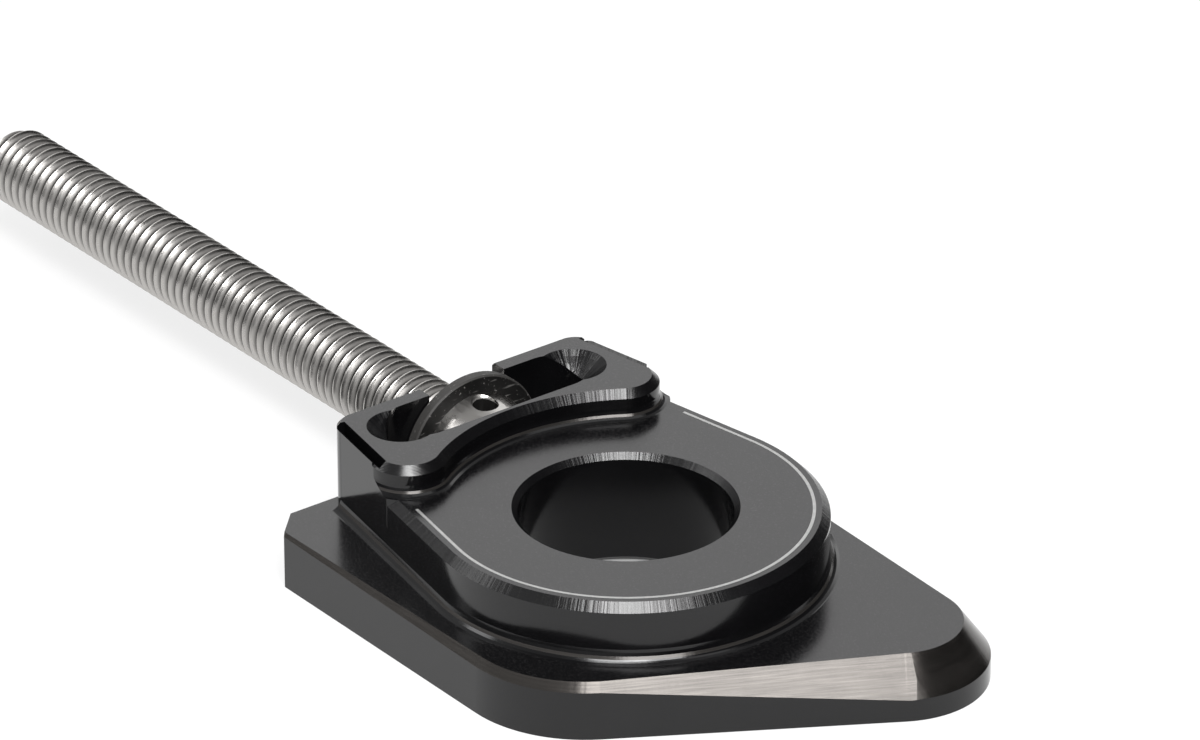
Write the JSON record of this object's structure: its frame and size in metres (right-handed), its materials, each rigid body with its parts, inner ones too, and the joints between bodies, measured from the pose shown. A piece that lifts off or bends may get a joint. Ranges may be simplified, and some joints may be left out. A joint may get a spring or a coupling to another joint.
{
  "type": "motorcycle chain adjuster",
  "caption": "Machined rear axle block with a bored boss, a pointed nose and a loose capstan-head tension screw on a thrust washer",
  "frame": {"origin": "where the axis of the axle bore crosses the axis of the screw", "axes": "+Z along the axle bore out of the boss face; +X towards the nose, the screw leaves along -X; +Y towards the side on which the nose lies"},
  "size_m": [0.1341, 0.0437, 0.0151],
  "materials": {
    "black_anodised": "machined, black anodised, glossy",
    "stainless": "turned stainless steel, cut thread",
    "black_washer": "blackened, lightly scratched"
  },
  "bodies": {
    "block": {"adjuster_block": "black_anodised"},
    "screw": {"adjuster_screw": "stainless"},
    "washer": {"thrust_washer": "black_washer"}
  },
  "joints": [
    {"name": "screw_spin", "type": "hinge", "parent": "block", "child": "screw", "pos_m": [-0.0244, 0, 0], "axis": [1, 0, 0], "continuous": true},
    {"name": "washer_spin", "type": "hinge", "parent": "screw", "child": "washer", "pos_m": [-0.0239, 0, 0], "axis": [1, 0, 0], "continuous": true}
  ]
}
